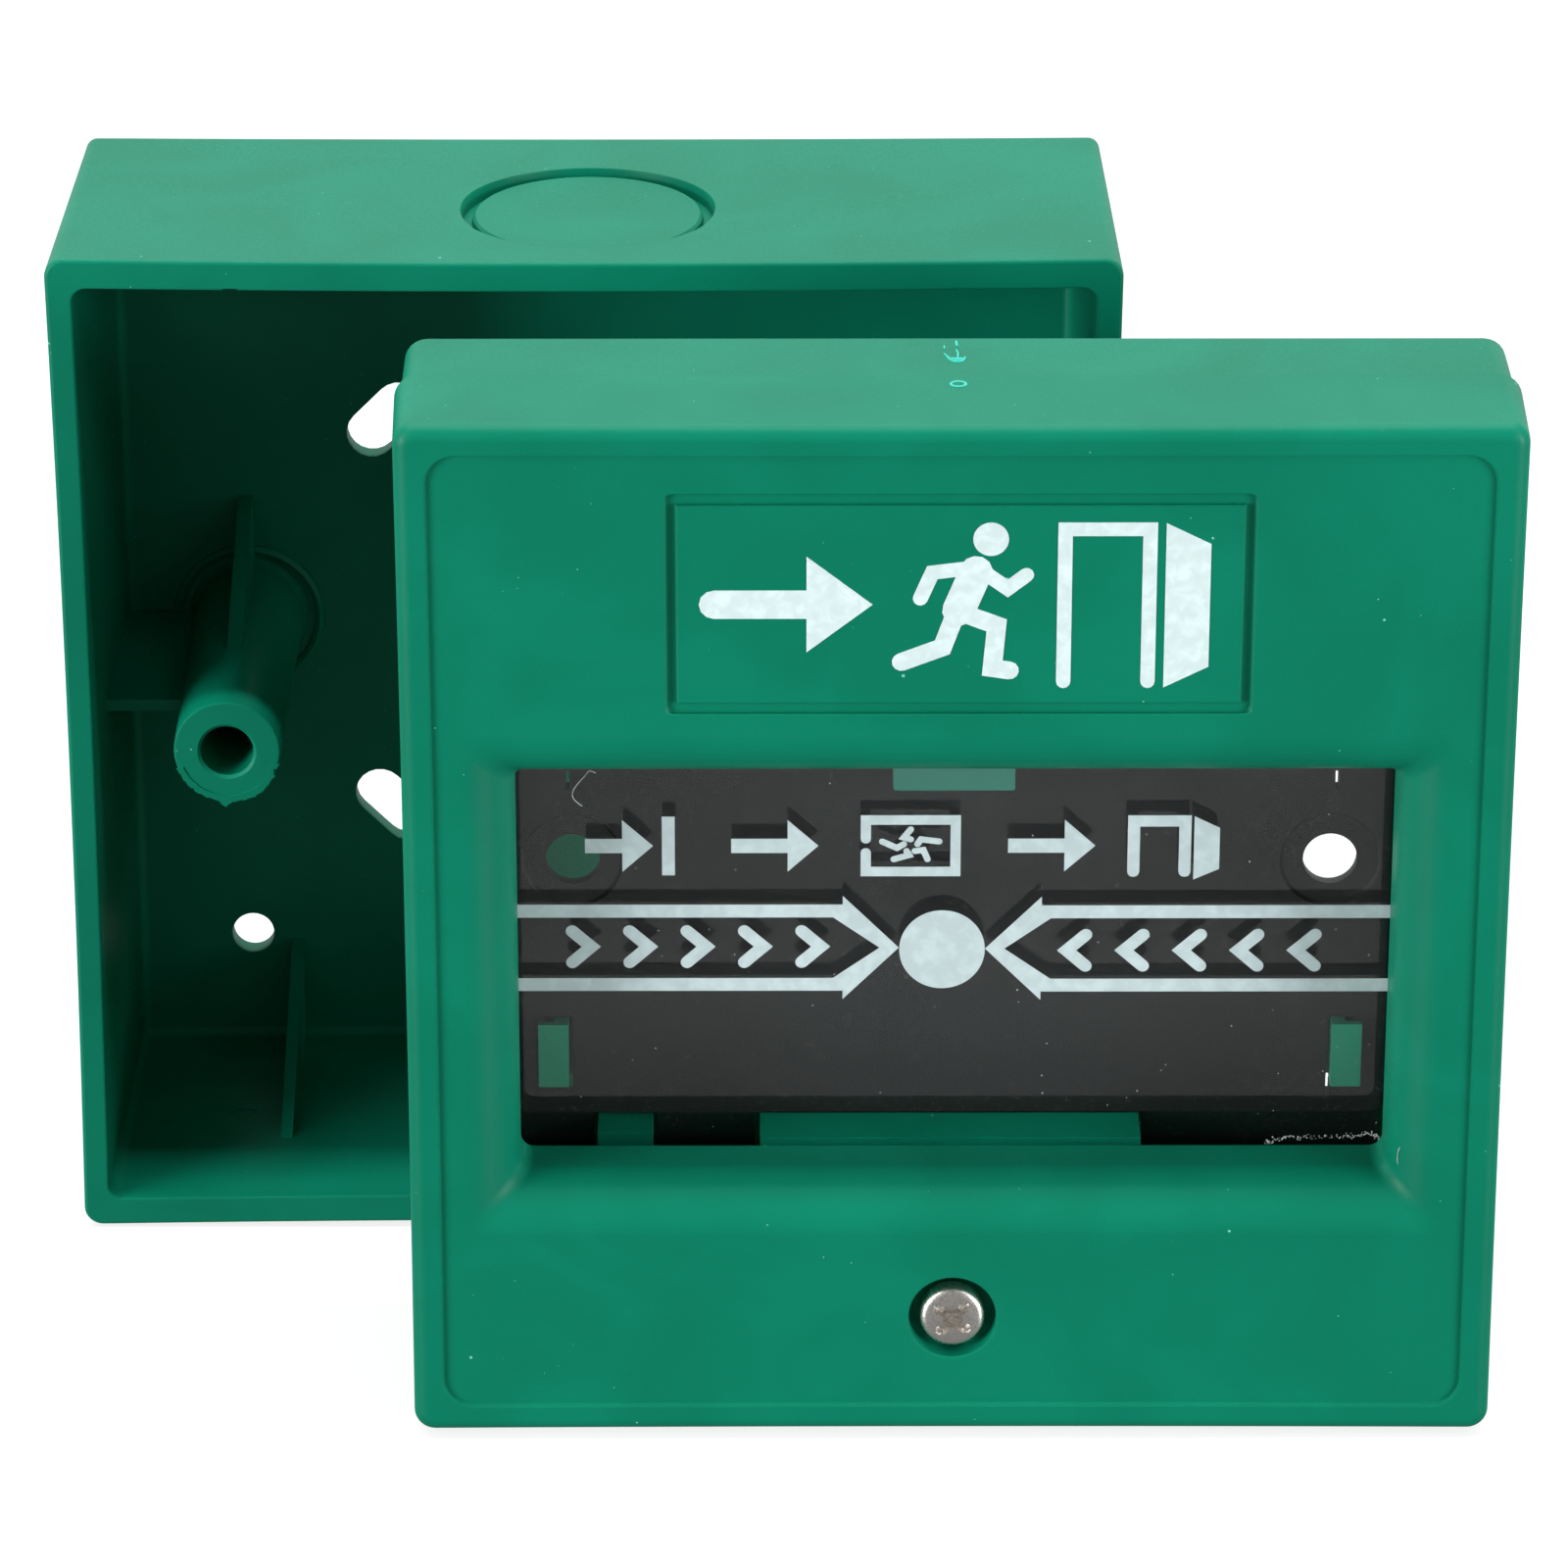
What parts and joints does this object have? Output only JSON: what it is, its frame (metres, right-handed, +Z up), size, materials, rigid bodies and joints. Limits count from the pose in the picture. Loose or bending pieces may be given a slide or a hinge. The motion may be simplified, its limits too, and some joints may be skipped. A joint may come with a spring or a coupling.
{
  "type": "manual call point",
  "caption": "Square wall-mounted emergency call point: a face unit with a glass press pane, shown beside the deep surface box it screws to.",
  "frame": {"origin": "bottom centre of the box around the face unit and the surface box as they stand side by side", "axes": "+Z up; +Y from the front of the face unit towards the wall side of the surface box; +X to the right seen from the front"},
  "size_m": [0.1152, 0.0698, 0.086],
  "materials": {
    "green_plastic": "moulded, satin with a fine grain",
    "black_plastic": "moulded, finely speckled",
    "pane_glass": "clear, with a white press graphic printed on it",
    "foam": "matt foam strip",
    "steel": "plated",
    "nickel": "bright nickel plate",
    "brass": "machined",
    "circuit_board": "solder mask over glass fibre",
    "red_plastic": "moulded",
    "terminal_plastic": "moulded"
  },
  "bodies": {
    "box": {"back_box": "green_plastic"},
    "unit": {"base_frame": "green_plastic", "back_plate": "black_plastic", "screw_insert": "brass", "trip_spring": "steel", "switch_board": "circuit_board", "board_screw_1": "steel", "board_screw_2": "steel", "switch_body": "black_plastic", "switch_lid": "black_plastic", "switch_pin_1": "steel", "switch_pin_2": "steel", "switch_pin_3": "steel", "terminal_block": "terminal_plastic", "terminal_screw_1": "steel", "terminal_screw_2": "steel", "terminal_screw_3": "steel", "terminal_clamp_1": "brass", "terminal_clamp_2": "brass", "terminal_clamp_3": "brass"},
    "cover": {"front_cover": "green_plastic", "pane_gasket": "foam", "pane_keeper_left": "steel", "pane_keeper_right": "steel", "keeper_screw_left": "steel", "keeper_screw_right": "steel"},
    "pane": {"glass_pane": "pane_glass"},
    "screw": {"cover_screw": "nickel"},
    "plunger": {"trip_plunger": "green_plastic"},
    "lever": {"switch_lever": "steel"},
    "button": {"switch_button": "red_plastic"}
  },
  "joints": [
    {"name": "unit_fit", "type": "slide", "parent": "box", "child": "unit", "axis": [-0.8668, 0.4986, 0], "range_m": [0, 0.03362]},
    {"name": "cover_swing", "type": "hinge", "parent": "unit", "child": "cover", "pos_m": [0.01457, -0.02418, 0.086], "axis": [-1, 0, 0], "range_deg": [0, 80]},
    {"name": "cover_screw_turn", "type": "hinge", "parent": "cover", "child": "screw", "pos_m": [0.01457, -0.03388, 0.0103], "axis": [0, 1, 0], "continuous": true},
    {"name": "pane_press", "type": "slide", "parent": "cover", "child": "pane", "axis": [0, 1, 0], "range_m": [0, 0.0008], "stiffness_N_per_m": 1500, "springref_m": -0.0005},
    {"name": "plunger_travel", "type": "slide", "parent": "unit", "child": "plunger", "axis": [0, 1, 0], "range_m": [0, 0.0008], "deforming": ["trip_spring"]},
    {"name": "lever_swing", "type": "hinge", "parent": "unit", "child": "lever", "pos_m": [0.00897, -0.02548, 0.0672], "axis": [0, 0, 1], "range_deg": [0, 5.2]},
    {"name": "button_travel", "type": "slide", "parent": "unit", "child": "button", "axis": [0, 1, 0], "range_m": [0, 0.0004]}
  ],
  "couplings": [
    {"joint": "plunger_travel", "follows": "pane_press", "ratio": 1},
    {"joint": "lever_swing", "follows": "pane_press", "rad_per_m": 109.9},
    {"joint": "button_travel", "follows": "pane_press", "ratio": 0.44}
  ]
}
